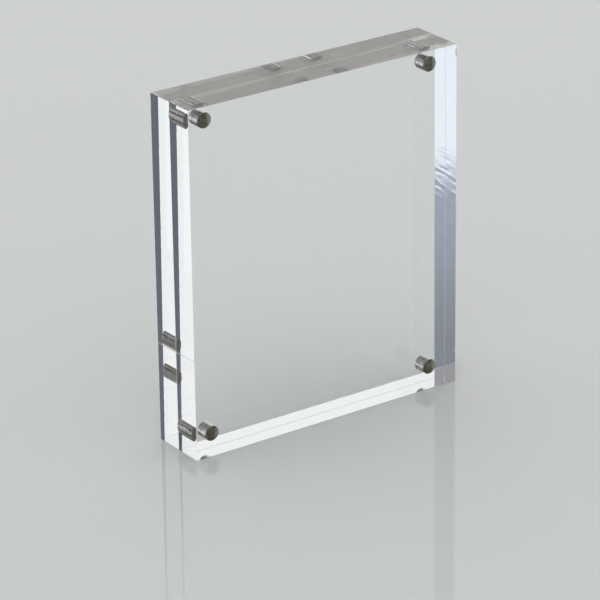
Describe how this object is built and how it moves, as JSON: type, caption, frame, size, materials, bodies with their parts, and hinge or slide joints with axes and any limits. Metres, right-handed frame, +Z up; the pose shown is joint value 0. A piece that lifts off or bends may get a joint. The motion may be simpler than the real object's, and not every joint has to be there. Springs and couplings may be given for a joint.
{
  "type": "acrylic block frame",
  "caption": "Free-standing clear acrylic block photo frame: two thick slabs that magnets in their corners hold face to face around a picture.",
  "frame": {"origin": "middle of the narrow edge that the frame stands on, in the plane where the two slabs' magnets meet", "axes": "+X to the right of someone facing the picture, +Y to the back, through the slabs, +Z up"},
  "size_m": [0.1, 0.02, 0.114],
  "materials": {
    "clear_acrylic": "polished",
    "nickel_plate": "polished"
  },
  "bodies": {
    "back_half": {"back_block": "clear_acrylic", "magnet_back_bottom_left": "nickel_plate", "magnet_back_bottom_right": "nickel_plate", "magnet_back_top_left": "nickel_plate", "magnet_back_top_right": "nickel_plate"},
    "front_half": {"front_block": "clear_acrylic", "magnet_front_bottom_left": "nickel_plate", "magnet_front_bottom_right": "nickel_plate", "magnet_front_top_left": "nickel_plate", "magnet_front_top_right": "nickel_plate"}
  },
  "joints": [
    {"name": "front_half_pull_off", "type": "slide", "parent": "back_half", "child": "front_half", "axis": [0, -1, 0], "range_m": [0, 0.04]}
  ]
}
